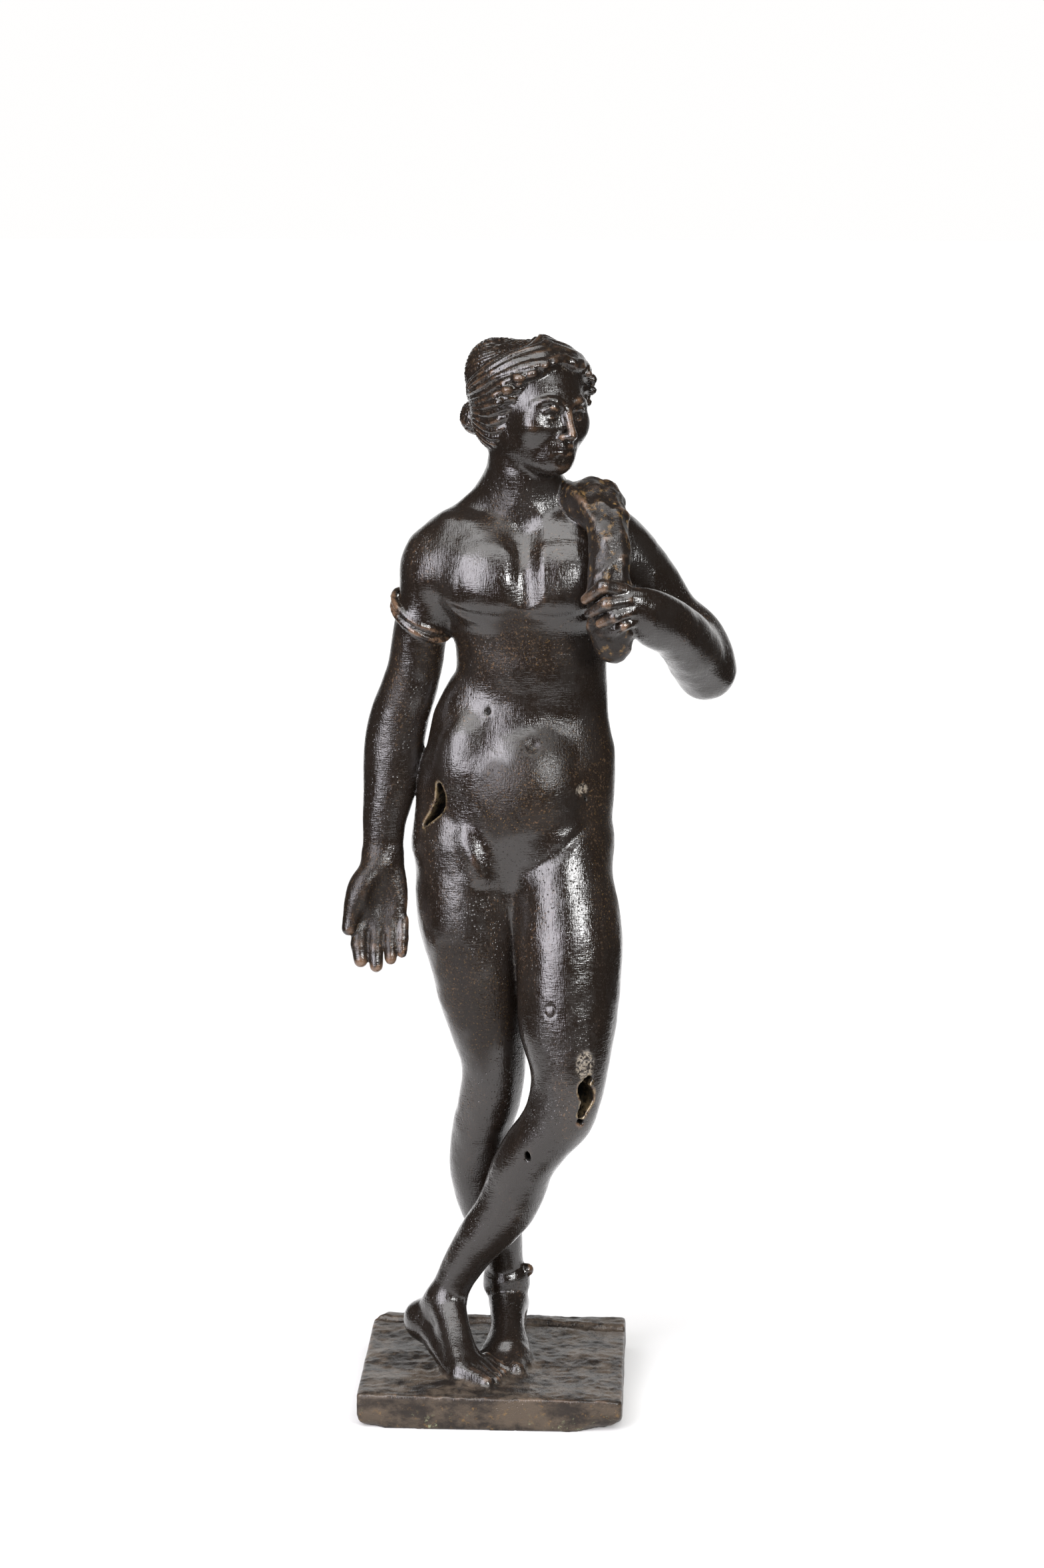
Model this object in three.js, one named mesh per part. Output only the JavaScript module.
// Female statuette: a cast bronze figure of a standing woman, cross-legged on a square plate,
// one hand at her chest on a strip of drapery. Figure, drapery, bands and plate are one casting.
// Millimetres, +Z up, +Y to the back. The origin is the centre of the plate's underside.
import * as THREE from "three";

// Driving dimensions
const PLATE = { middle: -0.2, width: 74.2, front: -37.6, back: 36.4, skew: -0.02, corner: 1.6, edge: 0.7 };
const TOP = { height: 9.3, perX: -0.012, perY: -0.009 };
const FIELD = { low: [-48, -42, -2.5], high: [72, 46, 304], step: 1.25 };
const TRIANGLES = 9400;
const GROUND = TOP.height;

// Small vector arithmetic on [x, y, z]
const minus = (a, b) => [a[0] - b[0], a[1] - b[1], a[2] - b[2]];
const plus = (a, b, k = 1) => [a[0] + b[0] * k, a[1] + b[1] * k, a[2] + b[2] * k];
const dot = (a, b) => a[0] * b[0] + a[1] * b[1] + a[2] * b[2];
const cross = (a, b) => [
  a[1] * b[2] - a[2] * b[1],
  a[2] * b[0] - a[0] * b[2],
  a[0] * b[1] - a[1] * b[0],
];
const length = (a) => Math.hypot(a[0], a[1], a[2]);
const unit = (a) => a.map((v) => v / length(a));
const clamp = (v, low, high) => Math.min(Math.max(v, low), high);

// Smaller of two distances, with a fillet of the given width where they meet.
function smoothMin(a, b, fillet) {
  if (fillet <= 0) return Math.min(a, b);
  const h = Math.max(fillet - Math.abs(a - b), 0) / fillet;
  return Math.min(a, b) - h * h * fillet * 0.25;
}

const smoothMax = (a, b, fillet) => -smoothMin(-a, -b, fillet);

// Clay: distances to the surface on an even grid, to which shapes are added, cut and blended.
const FAR = 6;
const REACH = 3;

class Clay {
  constructor({ low, high, step }) {
    this.low = low;
    this.step = step;
    this.size = low.map((v, i) => Math.ceil((high[i] - v) / step) + 1);
    this.value = new Float32Array(this.size[0] * this.size[1] * this.size[2]).fill(FAR);
  }

  twin() {
    const other = Object.create(Clay.prototype);
    Object.assign(other, this);
    other.value = new Float32Array(this.value.length).fill(FAR);
    return other;
  }

  // Calls visit(index, x, y, z) at the grid points of a box grown by a margin.
  each(low, high, margin, visit) {
    const { low: origin, step, size } = this;
    const from = low.map((v, i) => Math.max(0, Math.ceil((v - margin - origin[i]) / step)));
    const to = high.map((v, i) => Math.min(size[i] - 1, Math.floor((v + margin - origin[i]) / step)));
    for (let k = from[2]; k <= to[2]; k++) {
      const z = origin[2] + k * step;
      for (let j = from[1]; j <= to[1]; j++) {
        const y = origin[1] + j * step;
        let index = (k * size[1] + j) * size[0] + from[0];
        for (let i = from[0]; i <= to[0]; i++, index++) visit(index, origin[0] + i * step, y, z);
      }
    }
  }

  // Distance to the nearest of a shape's pieces, by grid index.
  measure(shape, margin) {
    const near = new Map();
    for (const piece of shape.pieces ?? [shape]) {
      this.each(piece.low, piece.high, margin, (index, x, y, z) => {
        const d = piece.distance(x, y, z);
        const before = near.get(index);
        if (before === undefined || d < before) near.set(index, d);
      });
    }
    return near;
  }

  add(shape, fillet = 0) {
    for (const [index, d] of this.measure(shape, Math.max(REACH, fillet))) {
      this.value[index] = smoothMin(this.value[index], d, fillet);
    }
    return this;
  }

  cut(shape, fillet = 0) {
    for (const [index, d] of this.measure(shape, Math.max(REACH, fillet))) {
      this.value[index] = smoothMax(this.value[index], -d, fillet);
    }
    return this;
  }

  // The fillet is a width, or a function of the height.
  join(other, fillet = 0) {
    const layer = this.size[0] * this.size[1];
    for (let i = 0; i < this.value.length; i++) {
      const z = this.low[2] + Math.floor(i / layer) * this.step;
      const width = typeof fillet === "number" ? fillet : fillet(z);
      this.value[i] = smoothMin(this.value[i], other.value[i], width);
    }
    return this;
  }
}

// Shapes: each has a box (low, high) and a distance, or is a list of such pieces.
const UPRIGHT = [[1, 0, 0], [0, 1, 0], [0, 0, 1]];

// Rows of a turned frame: right, forward and up.
function frameOf(forward, up = [0, 0, 1]) {
  const ahead = unit(forward);
  const right = unit(cross(ahead, up));
  return [right, ahead, cross(right, ahead)];
}

function ellipsoid(centre, radii, frame = UPRIGHT) {
  const spread = [0, 1, 2].map((i) => Math.hypot(...frame.map((row, j) => row[i] * radii[j])));
  return {
    low: minus(centre, spread),
    high: plus(centre, spread),
    distance(x, y, z) {
      const offset = [x - centre[0], y - centre[1], z - centre[2]];
      let inner = 0;
      let slope = 0;
      for (let j = 0; j < 3; j++) {
        const q = dot(offset, frame[j]) / radii[j];
        inner += q * q;
        slope += (q / radii[j]) ** 2;
      }
      const k = Math.sqrt(inner);
      return (k * (k - 1)) / Math.max(Math.sqrt(slope), 1e-4);
    },
  };
}

// A round bar from a to b whose radius runs from ra to rb, with round ends.
function bar(a, b, ra, rb = ra) {
  const along = minus(b, a);
  const square = dot(along, along);
  return {
    low: a.map((v, i) => Math.min(v - ra, b[i] - rb)),
    high: a.map((v, i) => Math.max(v + ra, b[i] + rb)),
    distance(x, y, z) {
      const q = [x - a[0], y - a[1], z - a[2]];
      const t = clamp(dot(q, along) / square, 0, 1);
      return length(plus(q, along, -t)) - (ra + (rb - ra) * t);
    },
  };
}

// A tapered segment with an oval section: half width along side, its own half depth in front and behind.
function segment(start, end, side, first, last) {
  const axis = unit(minus(end, start));
  const span = length(minus(end, start));
  const across = unit(plus(side, axis, -dot(side, axis)));
  const ahead = cross(axis, across);
  const most = [Math.max(...first), Math.max(...last)];
  return {
    low: start.map((v, i) => Math.min(v - most[0], end[i] - most[1])),
    high: start.map((v, i) => Math.max(v + most[0], end[i] + most[1])),
    distance(x, y, z) {
      const q = [x - start[0], y - start[1], z - start[2]];
      const reach = dot(q, axis);
      const t = clamp(reach / span, 0, 1);
      const v = dot(q, ahead);
      const wide = first[0] + (last[0] - first[0]) * t;
      const near = v < 0 ? 1 : 2;
      const deep = first[near] + (last[near] - first[near]) * t;
      const cap = Math.min(wide, deep);
      const parts = [[dot(q, across), wide], [v, deep], [reach - t * span, cap]];
      let inner = 0;
      let slope = 0;
      for (const [p, r] of parts) {
        inner += (p / r) ** 2;
        slope += (p / r / r) ** 2;
      }
      const k = Math.sqrt(inner);
      return k > 0 ? (k * (k - 1)) / Math.max(Math.sqrt(slope), 1e-4) : -cap;
    },
  };
}

// A smooth run through rows of numbers, whose first three are a point.
function smoothRows(rows, step) {
  const before = rows[0].map((v, i) => 2 * v - rows[1][i]);
  const after = rows.at(-1).map((v, i) => 2 * v - rows.at(-2)[i]);
  const all = [before, ...rows, after];
  const out = [];
  for (let i = 1; i < all.length - 2; i++) {
    const [p0, p1, p2, p3] = all.slice(i - 1, i + 3);
    const count = Math.max(1, Math.round(length(minus(p2, p1)) / step));
    for (let j = 0; j < count; j++) {
      const t = j / count;
      out.push(p1.map((v, n) => {
        const bend = 2 * p0[n] - 5 * v + 4 * p2[n] - p3[n];
        const twist = -p0[n] + 3 * v - 3 * p2[n] + p3[n];
        return 0.5 * (2 * v + (p2[n] - p0[n]) * t + bend * t * t + twist * t ** 3);
      }));
    }
  }
  out.push(rows.at(-1));
  return out;
}

// A limb: rows of x, y, z, half width, half depth in front, half depth behind, from low to high.
function limb(rows, side = [1, 0, 0], step = 2.5) {
  const path = smoothRows(rows, step);
  const pieces = path.slice(1).map((row, i) =>
    segment(path[i].slice(0, 3), row.slice(0, 3), side, path[i].slice(3), row.slice(3)));
  return { pieces };
}

// A cord: rows of x, y, z, radius.
function cord(rows, step = 1.5) {
  const path = smoothRows(rows, step);
  const pieces = path.slice(1).map((row, i) =>
    bar(path[i].slice(0, 3), row.slice(0, 3), path[i][3], row[3]));
  return { pieces };
}

// A closed cord round an upright ellipse, higher by tilt towards -X and by slope towards +Y.
function hoop([x, y, z], [across, deep], radius, tilt = 0, slope = 0) {
  const turns = 16;
  const rows = Array.from({ length: turns + 1 }, (_, i) => {
    const angle = (i / turns) * 2 * Math.PI;
    const c = Math.cos(angle);
    const s = Math.sin(angle);
    return [x + across * c, y + deep * s, z - tilt * c + slope * s, radius];
  });
  return cord(rows);
}

// Sections of the body: x, y, z, half width, half depth in front, half depth behind
const TRUNK = [
  [5.2, 3.5, 147, 22, 13, 14], [5.4, 3.5, 156, 27.1, 16, 18.5], [5.1, 3.2, 165, 27.4, 17.5, 18.5],
  [5.9, 3, 174, 27.5, 18, 15.5], [7, 3, 182, 26.7, 18, 13], [7.7, 3, 190, 25.4, 16.2, 11.8],
  [9, 3, 198, 23.2, 13.4, 11.2], [10.1, 3, 205, 21.2, 14, 11.5], [10.2, 3, 212, 20.9, 14.3, 12.5],
  [10.1, 3, 220, 21.9, 14.6, 14], [9.8, 3, 227.5, 23.1, 17.2, 14.8], [9.6, 3, 238, 24.2, 13.8, 15],
  [9.4, 4, 246, 22, 10.8, 13], [9, 5, 252, 15, 8.5, 10],
];
const NECK = [
  [8.6, 6, 246, 11.5, 9, 9], [8.2, 5, 254, 10.2, 9.5, 9], [8, 4, 262, 9.9, 10, 9], [8.6, 3.5, 270, 10, 10, 9.5],
];
const RIGHT_LEG = [
  [3.5, 16.5, 20, 5.4, 5.5, 5.5], [2.2, 15, 30, 5.1, 5.5, 6], [1.2, 13.2, 40, 6, 6.3, 7.2],
  [-2.2, 11.4, 50, 7.9, 7.6, 9], [-4.3, 9.4, 60, 8.7, 8, 10], [-4.5, 7, 68.5, 8.7, 8, 10],
  [-3.3, 4.2, 78, 8.4, 8.4, 9.2], [-1.2, 1.6, 86.4, 8.7, 8.8, 8.6], [-0.3, 0, 94.4, 8.9, 9.4, 8.6],
  [-1.1, -0.4, 102, 10.1, 10.2, 9.6], [-3, 0, 112.5, 12, 11.2, 12], [-4.4, 0.6, 122, 13, 12.5, 13.4],
  [-6.3, 1.2, 134, 14.5, 13.5, 14.8], [-7.3, 2.2, 146, 15.1, 14, 16], [-8.4, 3, 157, 14, 15, 17],
];
const LEFT_LEG = [
  [-14.6, -1, 25, 5.2, 5.5, 6], [-10.2, -2.7, 35, 5.5, 5.8, 6.2], [-3.1, -5, 46.5, 7.1, 7, 8],
  [4.1, -7.6, 56.8, 8.4, 7.5, 9], [9, -11, 70, 8.6, 8.5, 10], [13.4, -13.3, 77, 8.5, 9, 9.8], [18.1, -14.8, 83.8, 9.5, 9.5, 9.5],
  [21.3, -15.4, 95.8, 10.6, 10.5, 9.8], [20.8, -13, 108.6, 13.4, 12.5, 12], [20.9, -9.8, 122.4, 14.6, 14, 13.5],
  [20.7, -6.6, 134, 15.2, 15, 14.5], [19.4, -3.2, 146, 14.4, 15, 16], [18, 0, 157, 14, 15.5, 17],
];
const RIGHT_ARM = [
  [-31.6, 2.5, 154, 5.6, 4.2, 4.2], [-31.3, 3, 163, 6, 4.8, 4.8], [-30.1, 4, 171, 7.1, 6, 6],
  [-28.9, 5, 179, 8.2, 7, 7], [-28.2, 5.5, 187, 8.6, 7.5, 7.5], [-26.8, 5.5, 194, 8.3, 7.5, 7.5],
  [-24.5, 5, 201, 7.9, 7.5, 7.5], [-22.2, 4.5, 209, 7.6, 7.6, 7.6], [-20.8, 4, 218, 7.4, 8, 8],
  [-19.1, 3.5, 227, 7.4, 8.3, 8.3], [-17.1, 3.5, 236, 7.4, 8.5, 8.5], [-12, 4, 243, 7, 8, 8],
];
const LEFT_UPPER_ARM = [
  [58.8, 14.5, 206.2, 7.6, 7.6, 7.6], [56.8, 13.5, 212.8, 8.5, 8, 8], [49.6, 11, 220.8, 8.1, 8.5, 8.5],
  [42.8, 8, 231.2, 8.3, 9, 9], [36.4, 6, 239.6, 8.2, 9.5, 9.5], [31, 5, 245, 8, 9, 9],
];
const LEFT_FOREARM = [
  [58.8, 15, 205.8, 8.1, 7.8, 7.8], [56.4, 9, 210, 8.5, 8.3, 8.3], [53.2, 0, 216, 8, 7.6, 7.6],
  [49.2, -8, 221, 7.8, 6.8, 6.8], [45.8, -14, 223.6, 7.8, 5.4, 5.4], [42, -19, 227, 6.6, 4.6, 4.6],
];
const DRAPERY = [
  [32.8, -17.2, 217.5, 5, 4, 4], [32.6, -19, 223, 6.4, 4.4, 4.4], [32.2, -19.4, 231, 6, 4, 4],
  [32, -17, 240, 5.6, 3.8, 3.8], [31.6, -12.5, 248, 5.8, 3.8, 3.8], [29.4, -6.5, 253.2, 7.2, 4.2, 4.2],
  [26.4, 0.5, 255.8, 9.2, 4.6, 4.6], [26.4, 8, 253.8, 9.2, 4, 4], [27.6, 15, 246.2, 8, 3, 3],
  [28.8, 18.6, 236, 7.2, 2.4, 2.4], [29, 19.4, 226, 7, 2.2, 2.2], [28.5, 18.6, 214, 6.6, 2, 2],
];

function trunk(clay) {
  clay.add(limb(TRUNK, [1, 0, 0], 2.3));
  clay.add(bar([-17, 4, 237], [8, 7, 250], 8.2, 9), 6);
  clay.add(bar([-17.5, 4.5, 240.3], [0.4, 6.5, 255], 5.7, 5.6), 3);
  clay.add(bar([32.5, 5, 239.5], [10, 7, 249], 8, 8.6), 5);
  clay.add(bar([8.5, 8, 247], [4, 7, 256], 9, 6), 6);
  clay.add(limb(NECK), 5);
  for (const [x, side] of [[-4.6, -1], [23, 1]]) {
    clay.add(ellipsoid([x, -8.2, 236], [11.4, 5.2, 9.2], frameOf([0.3 * side, -0.92, 0.2])), 4);
  }
  clay.add(ellipsoid([9.6, -8.6, 178], [12.5, 8, 19]), 6);
  for (const x of [-8, 23.5]) clay.add(ellipsoid([x, -6.5, 184], [6.5, 5, 10]), 6);
  for (const x of [-7, 18.5]) clay.add(ellipsoid([x, 12, 157], [13, 12.3, 13]), 4);
  return clay;
}

// Palm forward, fingers down, thumb outwards.
function rightHand(clay) {
  const palm = [
    [-33, -1.5, 135, 7.4, 2.6, 2.8], [-32.2, -0.5, 141, 7.6, 2.8, 3.2],
    [-31.4, 1, 148, 6.8, 3.3, 3.6], [-31.5, 2, 155, 5.6, 3.8, 4],
  ];
  clay.add(limb(palm, [1, 0, 0], 2), 2);
  clay.add(cord([[-33, 0, 152, 3.6], [-37.5, -1.8, 146, 3.8], [-39.6, -3.4, 140, 2.8], [-40.7, -4.6, 135.2, 2.1]]), 2);
  clay.add(ellipsoid([-36, -2.2, 145], [4.2, 3, 6]), 2);
  const fingers = [
    [[-37.6, -2, 136], [-37.9, -4.2, 130.6], [-37.4, -5.4, 126.2], 2.4, 2],
    [[-33.2, -2, 135.5], [-33.3, -4.2, 129.8], [-33, -5.6, 124.8], 2.2, 1.9],
    [[-29.2, -1.8, 136], [-29.2, -4, 130.6], [-29, -5.2, 126.6], 1.95, 1.6],
    [[-25.9, -1.4, 137], [-25.9, -3.4, 132.2], [-25.9, -4.6, 128.3], 1.7, 1.35],
  ];
  for (const [root, middle, tip, thick, thin] of fingers) {
    const finger = clay.twin().add(bar(root, middle, thick)).add(bar(middle, tip, thick, thin), 0.5);
    clay.join(finger, 0.35);
  }
  return clay.cut(ellipsoid([-30.8, -5.6, 143], [4.2, 3.2, 6]), 2);
}

function rightFoot(clay) {
  const foot = clay.twin().add(ellipsoid([3.2, 21, 13.5], [5, 6, 6]));
  const sole = [
    [3.4, 16, 13, 4.8, 5, 5], [3.4, 6, 12.2, 5.8, 5, 4], [3, -4, 10.6, 7.4, 3.5, 3.5], [3.2, -9, 9.6, 7.4, 2.8, 2.8],
  ];
  foot.add(limb(sole, [1, 0, 0], 2), 3);
  foot.add(bar([3.2, 12, 21], [3.8, -3, 13], 5.4, 3.4), 4);
  foot.add(bar([6.8, -5, 11], [6.6, -14.2, 10], 3, 2.4), 1.5);
  for (let i = 0; i < 4; i++) {
    const x = 3.4 - 2.6 * i;
    foot.add(bar([x, -7 + 0.8 * i, 10.4], [x - 0.1, -13.2 + 1.5 * i, 9.6], 2 - 0.12 * i, 1.6 - 0.1 * i), 0.6);
  }
  return clay.join(foot, 2.5);
}

function leftFoot(clay) {
  const foot = clay.twin().add(ellipsoid([-20.8, 3.2, 18.4], [5.2, 6.2, 5.4], frameOf([0.6, -0.7, -0.3])));
  foot.add(bar([-15, -0.5, 25], [-19.8, 2.5, 19], 5.4, 5), 2.5);
  const sole = [
    [-19, 2.5, 18.2, 5, 5, 5], [-14.5, -6, 15.5, 5.6, 5, 5], [-9, -15, 12.2, 6.8, 3.8, 3.8], [-5.5, -20, 10.6, 7, 3, 3],
  ];
  foot.add(limb(sole, [0.8, 0.6, 0], 2), 3);
  foot.add(bar([-13.6, -3, 26], [-8, -17, 13.5], 5, 3.4), 4);
  foot.add(bar([-14, -7, 23], [-8.8, -21, 12.5], 3, 2.5), 2);
  foot.add(bar([-8.8, -21.4, 12.2], [-1.5, -27.2, 10.4], 2.8, 2.2), 1.2);
  for (let i = 0; i < 4; i++) {
    const knuckle = [-4.8 + i, -19.4 + 2.4 * i, 12.6];
    const tip = [1.2 + 0.8 * i, -24.6 + 3.4 * i, 10.2];
    foot.add(bar(knuckle, tip, 1.9 - 0.08 * i, 1.5 - 0.08 * i), 0.7);
  }
  return clay.join(foot, 2);
}

// Back of the hand outwards, fingers curled round the cloth.
function leftHand(clay) {
  const hand = clay.twin();
  const back = [
    [47, -12.5, 223.6, 7.2, 5, 5], [43.4, -18, 226.6, 6.8, 4.4, 4.4],
    [39.6, -21.6, 228.8, 5.8, 3.6, 3.6], [37, -23, 229.8, 5, 3, 3],
  ];
  hand.add(limb(back, [0.35, 0, 0.94], 2));
  const fingers = [
    [[36.4, -23.4, 233.6], [30.4, -26.4, 235.2], [25.8, -23.8, 231.2], 1.95],
    [[37, -24.6, 231], [31.4, -27, 230.4], [26.6, -24.6, 227.4], 1.8],
    [[38, -24.4, 228.2], [33.6, -26.6, 227], [29.6, -24.6, 224.8], 1.75],
    [[39, -23, 225.2], [36, -24.8, 224.2], [33, -23, 222.4], 1.45],
  ];
  for (const [knuckle, bend, tip, thick] of fingers) {
    const finger = hand.twin().add(bar(knuckle, bend, thick * 1.05, thick)).add(bar(bend, tip, thick, thick * 0.8), 0.6);
    hand.join(finger, 0.45);
  }
  return clay.join(hand, 0.5);
}

// The strip goes up from a bundle under the hand, over the shoulder and down the back, in three folds.
function drapery(clay) {
  const cloth = clay.twin().add(limb(DRAPERY, [1, 0, 0], 2));
  for (const [front, top, thick] of [[27.6, 19.6, 1.5], [31.2, 24.8, 1.6], [35, 30, 1.6]]) {
    const middle = (front + top) / 2;
    const fold = [
      [front + 1.5, -22.2, 222], [front + 0.4, -22.6, 231], [front, -20, 240], [front - 0.2, -15.6, 248.6],
      [middle, -9.2, 255.8], [top, 0, 259.4], [top + 1, 9, 256.6], [middle, 17, 247.5],
      [middle + 0.4, 20.4, 236], [middle, 21.2, 224],
    ];
    cloth.add(cord(fold.map((point) => [...point, thick])), 1.2);
  }
  cloth.add(ellipsoid([34.2, -16.5, 214.4], [2, 1.6, 1.4]), 1);
  return clay.join(cloth, 1);
}

// The head is modelled in its own frame: sideways, forward and up from its middle.
const HEAD = { middle: [11, 2.6, 281.3], frame: frameOf([0.615, -0.785, 0], [0.07, 0, 1]) };
const inHead = (side, ahead, up) =>
  HEAD.frame.reduce((point, row, i) => plus(point, row, [side, ahead, up][i]), HEAD.middle);
const onHead = (place, radii) => ellipsoid(inHead(...place), radii, HEAD.frame);
const along = (rows, step = 0.9) => cord(rows.map(([s, f, u, r]) => [...inHead(s, f, u), r]), step);

function face(head) {
  for (const s of [-1, 1]) {
    head.cut(onHead([4.5 * s, 16.4, -1.4], [3.5, 3.2, 2.2]), 2.2);
    head.add(onHead([4.5 * s, 11.7, -1.3], [2.7, 2.7, 2.5]), 0.4);
    const upperLid = [[1.9, 13.6, -1.6, 0.35], [3.2, 14.7, -0.3, 0.5], [4.7, 14.9, 0.1, 0.55], [6.3, 13.9, -0.4, 0.5],
      [7.4, 12.4, -1.4, 0.35]];
    const lowerLid = [[1.9, 13.6, -1.8, 0.3], [3.4, 14.3, -2.5, 0.4], [4.8, 14.4, -2.8, 0.45], [6.3, 13.5, -2.5, 0.4],
      [7.3, 12.4, -1.7, 0.3]];
    const brow = [[1.6, 15, 0.9, 0.9], [3.6, 15.2, 2.1, 1], [5.8, 14.2, 2.3, 1], [8.2, 11.6, 1, 0.9]];
    const mirrored = (rows) => rows.map(([x, ...rest]) => [x * s, ...rest]);
    head.add(along(mirrored(upperLid)), 0.5);
    head.add(along(mirrored(lowerLid)), 0.6);
    head.add(along(mirrored(brow)), 1.8);
  }
  head.add(along([[0, 14.3, 2.4, 1.1], [0, 15.2, -0.6, 1], [0, 16.7, -4.2, 1.15], [0, 17.8, -6.8, 1.45]]), 1.5);
  head.add(onHead([0, 17.4, -7.2], [1.6, 1.7, 1.4]), 0.6);
  for (const s of [-1, 1]) {
    head.add(onHead([1.75 * s, 15.9, -7.6], [1.15, 1.6, 1.05]), 0.6);
    head.cut(onHead([0.85 * s, 16.9, -8.7], [0.5, 0.8, 0.5]), 0.4);
  }
  head.add(onHead([0, 12.6, -11.2], [5, 2.9, 3.9]), 2.2);
  head.cut(onHead([0, 16.2, -9], [0.5, 0.9, 1.1]), 0.7);
  for (const s of [-1, 1]) {
    head.add(along([[0, 15.5, -10.4, 0.62], [1.2 * s, 15.6, -10.1, 0.7], [2.6 * s, 14.8, -10.6, 0.6],
      [3.9 * s, 13.6, -11.2, 0.35]]), 0.5);
  }
  head.add(along([[-3.4, 13.8, -11.7, 0.4], [-1.6, 15, -12.2, 0.8], [0, 15.3, -12.4, 0.85], [1.6, 15, -12.2, 0.8],
    [3.4, 13.8, -11.7, 0.4]]), 0.5);
  head.cut(along([[-4.3, 13.9, -11.3, 0.2], [-2, 15.9, -11.2, 0.22], [0, 16.3, -11.3, 0.22], [2, 15.9, -11.2, 0.22],
    [4.3, 13.9, -11.3, 0.2]]), 0.4);
  return head.cut(onHead([0, 16.2, -14.2], [3, 1.5, 1.1]), 1.5);
}

// Hair lies on an oval cap: a place on it is an angle round the head from the brow and one above its middle.
const CAP = { middle: [0, -1.6, 4], radii: [15.6, 17.2, 14] };

function onCap(round, above, lift) {
  const a = (round * Math.PI) / 180;
  const e = (above * Math.PI) / 180;
  const way = [Math.cos(e) * Math.sin(a), Math.cos(e) * Math.cos(a), Math.sin(e)];
  return way.map((v, i) => CAP.middle[i] + (CAP.radii[i] + lift) * v);
}

// A wavy lock from the parting, back over the ear to the nape.
function lock(side, row, start) {
  const steps = 14;
  const points = Array.from({ length: steps + 1 }, (_, i) => {
    const t = i / steps;
    const wave = Math.sin(15 * t + 2.1 * row + side) * Math.sin(Math.PI * Math.min(1, 1.15 * t));
    const above = start * (1 - t) ** 1.15 - 24 * t + 2.8 * wave;
    const thick = 1.75 - 0.35 * t + 0.15 * Math.sin(15 * t + row);
    return [...onCap(side * (6 + 158 * t ** 0.9), above, 0.5), thick];
  });
  return along(points, 1.4);
}

// A rolled curl by the temple.
function curl(side, round, above, thick) {
  const steps = 8;
  const points = Array.from({ length: steps + 1 }, (_, i) => {
    const t = (1.15 * i) / steps;
    const turn = 2 * Math.PI * t;
    const tight = 1 - 0.3 * t;
    const place = onCap(side * (round + 5.5 * Math.cos(turn) * tight), above + 6 * Math.sin(turn) * tight, 1.1);
    return [...place, 0.72 * thick];
  });
  return along(points, 1);
}

function head(clay) {
  const skull = clay.twin().add(onHead([0, -1.6, 3.6], [13.4, 15.8, 13.2]));
  skull.add(onHead([0, 2.8, -3.6], [12.3, 12.4, 13.6]), 2.5);
  for (const s of [-1, 1]) {
    skull.add(bar(inHead(9.2 * s, 1.2, -9.2), inHead(3.4 * s, 9.6, -14.4), 4, 3.6), 3.5);
    skull.add(onHead([7.2 * s, 9.4, -5.4], [4.4, 4, 3.6]), 3);
  }
  skull.add(onHead([0, 11.6, -15], [3.9, 3.4, 3.2]), 2.5);
  face(skull);
  const hair = clay.twin().add(onHead(CAP.middle, CAP.radii));
  hair.add(onHead([5.2, -9.6, 9.8], [8.4, 8.2, 8.6]), 3);
  for (const s of [-1, 1]) hair.add(onHead([8.6 * s, -6, -3.4], [5.8, 8.6, 7.2]), 3);
  hair.cut(onHead([0, 31.4, -17.8], [38, 30, 30]), 1.2);
  skull.join(hair, 0.6);
  for (const s of [-1, 1]) {
    [27, 37, 48, 60, 73].forEach((start, row) => skull.add(lock(s, row, start), 0.55));
    const curls = [[24, 24, 1.5], [38, 16, 1.6], [52, 6, 1.5], [64, -6, 1.4]];
    for (const [round, above, thick] of curls) skull.add(curl(s, round, above, thick), 0.35);
  }
  skull.add(onHead([2.4, -19.6, -4.6], [5.4, 4.9, 5]), 1.2);
  skull.add(onHead([-2.6, 4, 15.6], [2, 3.2, 2.1]), 0.6);
  skull.add(onHead([0.8, 3, 15.9], [2, 3, 1.9]), 0.6);
  return clay.join(skull, 2.5);
}

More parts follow.
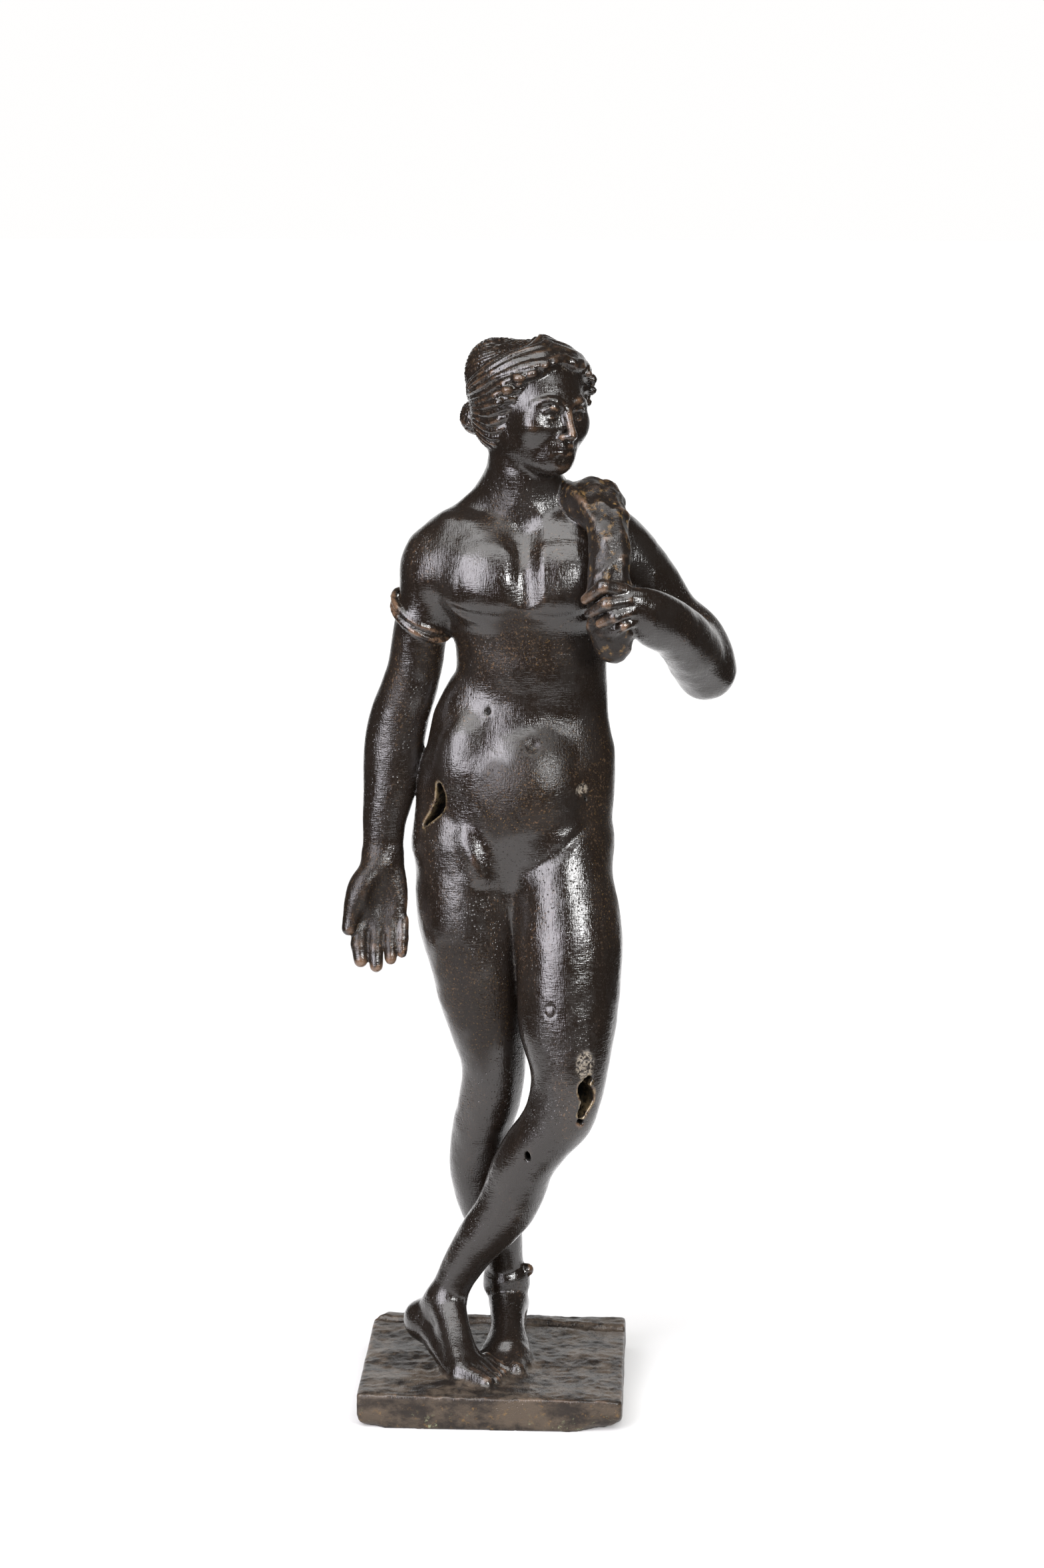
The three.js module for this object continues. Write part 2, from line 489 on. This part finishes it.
// Collarbones, the creases of groin and waist, the navel, and the bands on arm and ankle.
function carving(clay) {
  clay.add(cord([[3, -3.6, 245.6, 1.8], [-5, -3.4, 247.8, 2], [-12, 0.2, 248.4, 1.8]]), 5);
  clay.add(cord([[12, -3.8, 245.8, 1.8], [19, -3.8, 248.4, 2], [27, -1.6, 249.8, 1.8]]), 5);
  clay.cut(ellipsoid([7.6, -9.2, 249], [4, 3.6, 4]), 5);
  clay.cut(cord([[6.5, -15.2, 151.5, 0.7], [-2, -15.8, 158, 0.7], [-11, -13.5, 166, 0.6], [-18, -8, 173, 0.5]]), 2.2);
  clay.cut(cord([[6.5, -15.2, 151.5, 0.7], [15, -16.5, 157, 0.7], [24, -13.5, 164, 0.6], [31, -8, 170, 0.5]]), 2.2);
  clay.cut(ellipsoid([11.2, -16.9, 189], [1.5, 2.6, 1.5]), 1.6);
  for (const [side, furrow] of [[-1, -1.6], [1, 22.4]]) {
    clay.cut(cord([[furrow, -14.1, 196, 0.6], [furrow - side, -15.4, 184, 0.7], [furrow, -14.9, 172, 0.7],
      [furrow - 4 * side, -15.2, 160, 0.5]]), 6);
  }
  clay.cut(cord([[-11, -8.5, 198.5, 0.5], [-2, -12.4, 197.5, 0.6], [10, -13.9, 197.2, 0.7], [22, -12, 197.8, 0.6],
    [29, -8, 199, 0.5]]), 2.6);
  clay.cut(cord([[-11, -10.4, 226, 0.8], [-4, -13.4, 224, 1.3], [4, -14.8, 223.8, 1.4], [9, -14.9, 224.4, 1.3],
    [15, -14.8, 223.8, 1.4], [22, -13.4, 224, 1.3], [29, -9.6, 226.4, 0.7]]), 1.8);
  clay.cut(cord([[8.4, -11.2, 244, 0.6], [9, -13.6, 238, 0.8], [9.4, -15.4, 232, 0.6]]), 4);
  for (const [z, thick] of [[224.3, 0.9], [222.5, 0.8], [220.7, 0.95]]) {
    clay.add(hoop([-20.6, 4, z], [7.6, 8.3], thick, 4, 3), 0.4);
  }
  clay.add(hoop([2.6, 15.8, 25.2], [4.5, 4.9], 2.1, 0.4), 0.8);
  clay.add(hoop([2.4, 15.6, 28.6], [4.3, 4.7], 2.1, -0.5), 0.8);
  return clay.add(ellipsoid([8.6, 14.2, 30.4], [1.9, 1.9, 1.8]), 0.6);
}

// Casting flaws: gaps in the wall at the hip and the knee, each a slot sunk along a direction.
const WALL_GAPS = [
  {
    slot: [[-15, -10, 176.4, 1.5], [-14.4, -10.6, 173.3, 1.6], [-15.6, -9.4, 169.6, 1.4], [-17.7, -8.4, 166.9, 1],
      [-19.7, -6.6, 165.4, 0.8]],
    inwards: [0.55, 0.83, 0],
  },
  {
    slot: [[26.4, -24.3, 96.8, 1.5], [26.3, -24.1, 93.6, 2], [26.7, -23.6, 90.2, 1.7], [26.3, -23.1, 87, 1.1]],
    inwards: [-0.55, 0.82, 0.1],
  },
];

function flaws(clay) {
  for (const { slot, inwards } of WALL_GAPS) {
    for (const depth of [-1, 0.5, 2, 3.5]) {
      clay.cut(cord(slot.map(([x, y, z, r]) => [...plus([x, y, z], inwards, depth), r])), 0.2);
    }
  }
  return clay;
}

function figure() {
  const clay = new Clay(FIELD);
  const body = trunk(clay.twin());
  const rightArm = rightHand(clay.twin().add(limb(RIGHT_ARM)));
  const leftArm = clay.twin().add(limb(LEFT_UPPER_ARM)).add(limb(LEFT_FOREARM, [0.6, 0, 0.8]), 3);
  const rightLeg = rightFoot(clay.twin().add(limb(RIGHT_LEG)));
  const leftLeg = leftFoot(clay.twin().add(limb(LEFT_LEG)));
  const left = clay.twin().join(body).join(leftLeg, 5);
  const whole = body.join(rightLeg, 5).join(left, 0.6);
  const soft = (z) => 0.3 + 5 * clamp((z - 207) / 14, 0, 1);
  whole.join(rightArm, soft).join(leftArm, soft);
  carving(whole);
  head(whole);
  drapery(whole);
  leftHand(whole);
  return flaws(whole);
}

// The plate: nearly square, thicker at the front left, with rounded upright corners and softened edges.
function plate(clay) {
  const half = PLATE.width / 2;
  return clay.add({
    low: [PLATE.middle - half, PLATE.front - 1, 0],
    high: [PLATE.middle + half, PLATE.back, TOP.height + 1],
    distance(x, y, z) {
      const r = PLATE.corner;
      const u = Math.abs(x - PLATE.middle) - half + r;
      const v = Math.max(PLATE.front + PLATE.skew * x - y, y - PLATE.back) + r;
      const outline = Math.hypot(Math.max(u, 0), Math.max(v, 0)) + Math.min(Math.max(u, v), 0) - r;
      const level = Math.max(z - TOP.height - TOP.perX * x - TOP.perY * y, -z);
      return Math.max(outline, level, (outline + level) * Math.SQRT1_2 + PLATE.edge * Math.SQRT1_2);
    },
  }, 1);
}

// The surface of the clay as a closed mesh: every grid cell is split into six tetrahedra round its diagonal.
const SPLIT = [[0, 1, 3, 7], [0, 3, 2, 7], [0, 2, 6, 7], [0, 6, 4, 7], [0, 4, 5, 7], [0, 5, 1, 7]];
const CORNERS = 8;
const NEAREST = 0.08;

function skin(clay) {
  const { value, size, low, step } = clay;
  const stride = [1, size[0], size[0] * size[1]];
  const shift = Array.from({ length: CORNERS }, (_, c) =>
    (c & 1) * stride[0] + ((c >> 1) & 1) * stride[1] + (c >> 2) * stride[2]);
  const place = (index) => [
    low[0] + (index % size[0]) * step,
    low[1] + (Math.floor(index / size[0]) % size[1]) * step,
    low[2] + Math.floor(index / stride[2]) * step,
  ];
  const points = [];
  const faces = [];
  const known = new Map();
  const crossing = (cell, one, other) => {
    const a = Math.min(one, other);
    const b = Math.max(one, other);
    const key = (cell + shift[a]) * CORNERS + (a ^ b);
    if (!known.has(key)) {
      const from = value[cell + shift[a]];
      const to = value[cell + shift[b]];
      const t = clamp(from / (from - to), NEAREST, 1 - NEAREST);
      const start = place(cell + shift[a]);
      known.set(key, points.length);
      points.push(plus(start, minus(place(cell + shift[b]), start), t));
    }
    return known.get(key);
  };
  const facing = (triangle, outwards) => {
    const [p, q, r] = triangle.map((v) => points[v]);
    const turned = dot(cross(minus(q, p), minus(r, p)), outwards) < 0;
    faces.push(turned ? [triangle[0], triangle[2], triangle[1]] : triangle);
  };
  for (let k = 0; k < size[2] - 1; k++) {
    for (let j = 0; j < size[1] - 1; j++) {
      for (let i = 0; i < size[0] - 1; i++) {
        const cell = i + j * stride[1] + k * stride[2];
        let inside = 0;
        for (let c = 0; c < CORNERS; c++) inside += value[cell + shift[c]] < 0 ? 1 : 0;
        if (inside === 0 || inside === CORNERS) continue;
        for (const corners of SPLIT) {
          const solid = corners.filter((c) => value[cell + shift[c]] < 0);
          if (solid.length === 0 || solid.length === 4) continue;
          const open = corners.filter((c) => value[cell + shift[c]] >= 0);
          const middle = (list) => list
            .map((c) => place(cell + shift[c]))
            .reduce((sum, p) => plus(sum, p, 1 / list.length), [0, 0, 0]);
          const outwards = minus(middle(open), middle(solid));
          if (solid.length === 2) {
            const ring = [[0, 0], [0, 1], [1, 1], [1, 0]].map(([s, o]) => crossing(cell, solid[s], open[o]));
            facing([ring[0], ring[1], ring[2]], outwards);
            facing([ring[0], ring[2], ring[3]], outwards);
          } else {
            const [tip, others] = solid.length === 1 ? [solid[0], open] : [open[0], solid];
            facing(others.map((c) => crossing(cell, tip, c)), outwards);
          }
        }
      }
    }
  }
  return { points, faces };
}

// The largest connected piece of a mesh, without stray bits and sealed hollows.
function largest({ points, faces }) {
  const parent = Int32Array.from(points, (_, i) => i);
  const root = (i) => {
    while (parent[i] !== i) {
      parent[i] = parent[parent[i]];
      i = parent[i];
    }
    return i;
  };
  for (const [a, b, c] of faces) {
    parent[root(a)] = root(b);
    parent[root(b)] = root(c);
  }
  const count = new Map();
  for (const [a] of faces) count.set(root(a), (count.get(root(a)) ?? 0) + 1);
  const best = [...count].sort((m, n) => n[1] - m[1])[0][0];
  return { points, faces: faces.filter(([a]) => root(a) === best) };
}

// A queue that gives back the cheapest entry first.
class Cheapest {
  constructor() {
    this.items = [];
  }

  push(item) {
    const { items } = this;
    let i = items.push(item) - 1;
    while (i > 0) {
      const up = (i - 1) >> 1;
      if (items[up].cost <= items[i].cost) break;
      [items[up], items[i]] = [items[i], items[up]];
      i = up;
    }
  }

  pop() {
    const { items } = this;
    const top = items[0];
    const last = items.pop();
    if (items.length === 0) return top;
    items[0] = last;
    let i = 0;
    for (;;) {
      let low = 2 * i + 1;
      if (low >= items.length) return top;
      if (low + 1 < items.length && items[low + 1].cost < items[low].cost) low += 1;
      if (items[low].cost >= items[i].cost) return top;
      [items[low], items[i]] = [items[i], items[low]];
      i = low;
    }
  }
}

// Squared distance to planes, as the ten numbers of a symmetric form in x, y, z and 1.
const planeForm = ([a, b, c], d, w) => [
  a * a * w, a * b * w, a * c * w, a * d * w, b * b * w, b * c * w, b * d * w, c * c * w, c * d * w, d * d * w,
];

function formAt(q, [x, y, z]) {
  const squares = q[0] * x * x + q[4] * y * y + q[7] * z * z;
  const mixed = q[1] * x * y + q[2] * x * z + q[5] * y * z;
  return squares + 2 * (mixed + q[3] * x + q[6] * y + q[8] * z) + q[9];
}

// The point with the least distance to the planes, or null where they don't fix one.
function formLowest(q) {
  const rows = [[q[0], q[1], q[2]], [q[1], q[4], q[5]], [q[2], q[5], q[7]]];
  const right = [-q[3], -q[6], -q[8]];
  const det = dot(rows[0], cross(rows[1], rows[2]));
  const size = q[0] + q[4] + q[7];
  if (Math.abs(det) < 1e-5 * size ** 3) return null;
  const columns = [0, 1, 2].map((i) => rows.map((row) => row[i]));
  return [0, 1, 2].map((i) => {
    const c = columns.map((column, n) => (n === i ? right : column));
    return dot(c[0], cross(c[1], c[2])) / det;
  });
}

// Thins a closed mesh to a count of triangles by edge collapses that keep it closed.
const SHORT_EDGE = 2e-4;
const LEAST_TURN = 0.25;
const LEAST_SHAPE = 0.02;

function thin({ points, faces }, target, detail) {
  const place = points.map((p) => [...p]);
  const corner = faces.map((f) => [...f]);
  const fans = place.map(() => new Set());
  const forms = place.map(() => new Array(10).fill(0));
  const stamp = new Int32Array(place.length);
  const normal = (p, q, r) => cross(minus(q, p), minus(r, p));
  corner.forEach((triangle, f) => {
    const [p, q, r] = triangle.map((v) => place[v]);
    const n = normal(p, q, r);
    const area = length(n);
    triangle.forEach((v) => fans[v].add(f));
    if (area < 1e-9) return;
    const facing = n.map((v) => v / area);
    const form = planeForm(facing, -dot(facing, p), area * detail(p));
    for (const v of triangle) form.forEach((w, i) => (forms[v][i] += w));
  });
  const around = (v) => {
    const near = new Set();
    for (const f of fans[v]) for (const w of corner[f]) near.add(w);
    near.delete(v);
    return near;
  };
  const queue = new Cheapest();
  const offer = (a, b) => {
    const form = forms[a].map((w, i) => w + forms[b][i]);
    const middle = plus(place[a], minus(place[b], place[a]), 0.5);
    const span = length(minus(place[a], place[b]));
    const lowest = formLowest(form);
    const usable = lowest && length(minus(lowest, middle)) < 1.5 * span;
    const spot = usable ? lowest : [middle, place[a], place[b]].sort((m, n) => formAt(form, m) - formAt(form, n))[0];
    const cost = Math.max(formAt(form, spot), 0) + SHORT_EDGE * span * span * detail(middle);
    queue.push({ cost, a, b, spot, age: stamp[a] + stamp[b] });
  };
  const folds = (v, other, spot) => {
    for (const f of fans[v]) {
      if (corner[f].includes(other)) continue;
      const before = corner[f].map((w) => place[w]);
      const after = corner[f].map((w) => (w === v ? spot : place[w]));
      const m = normal(...before);
      const n = normal(...after);
      const edge = Math.max(...after.map((p, i) => length(minus(p, after[(i + 1) % 3]))));
      if (dot(m, n) < LEAST_TURN * length(m) * length(n)) return true;
      if (length(n) < LEAST_SHAPE * edge * edge) return true;
    }
    return false;
  };
  place.forEach((_, v) => {
    for (const w of around(v)) if (w > v) offer(v, w);
  });
  let left = faces.length;
  while (left > target && queue.items.length > 0) {
    const { a, b, spot, age } = queue.pop();
    if (stamp[a] + stamp[b] !== age || fans[a].size === 0 || fans[b].size === 0) continue;
    const near = around(a);
    const shared = [...around(b)].filter((w) => near.has(w));
    if (shared.length !== 2 || folds(a, b, spot) || folds(b, a, spot)) continue;
    for (const f of [...fans[b]]) {
      if (corner[f].includes(a)) {
        for (const w of corner[f]) fans[w].delete(f);
        left -= 1;
      } else {
        corner[f][corner[f].indexOf(b)] = a;
        fans[a].add(f);
      }
    }
    fans[b].clear();
    place[a] = spot;
    forms[a] = forms[a].map((w, i) => w + forms[b][i]);
    stamp[a] += 1;
    stamp[b] += 1;
    for (const w of around(a)) offer(a, w);
  }
  return { points: place, faces: corner.filter((triangle, f) => fans[triangle[0]].has(f)) };
}

// Finer where the form is small: head, hands, feet and bands.
function detail([x, y, z]) {
  if (z > 262) return 5;
  if (z < 32 && z > GROUND + 0.5) return 3;
  const rightFingers = x < -24 && z < 150 && z > 118;
  const leftFingers = x > 20 && y < -16 && z > 210 && z < 262;
  return rightFingers || leftFingers ? 4 : 1;
}

// The plate's flat underside is exact.
function settle({ points, faces }) {
  const flat = 0.2;
  return { points: points.map(([x, y, z]) => [x, y, Math.abs(z) < flat ? 0 : z]), faces };
}

function geometryOf({ points, faces }) {
  const used = new Map();
  const kept = [];
  const index = faces.flat().map((v) => {
    if (!used.has(v)) {
      used.set(v, used.size);
      kept.push(...points[v]);
    }
    return used.get(v);
  });
  const geometry = new THREE.BufferGeometry();
  geometry.setAttribute("position", new THREE.BufferAttribute(new Float32Array(kept), 3));
  geometry.setIndex(index);
  geometry.computeVertexNormals();
  return geometry;
}

const BRONZE = new THREE.MeshStandardMaterial({ name: "bronze", color: 0x2b231c, roughness: 0.32, metalness: 0.9 });

const clay = plate(figure());
const casting = new THREE.Mesh(geometryOf(settle(thin(largest(skin(clay)), TRIANGLES, detail))), BRONZE);
casting.name = "statuette";

const group = new THREE.Group();
group.add(casting);

export default group;
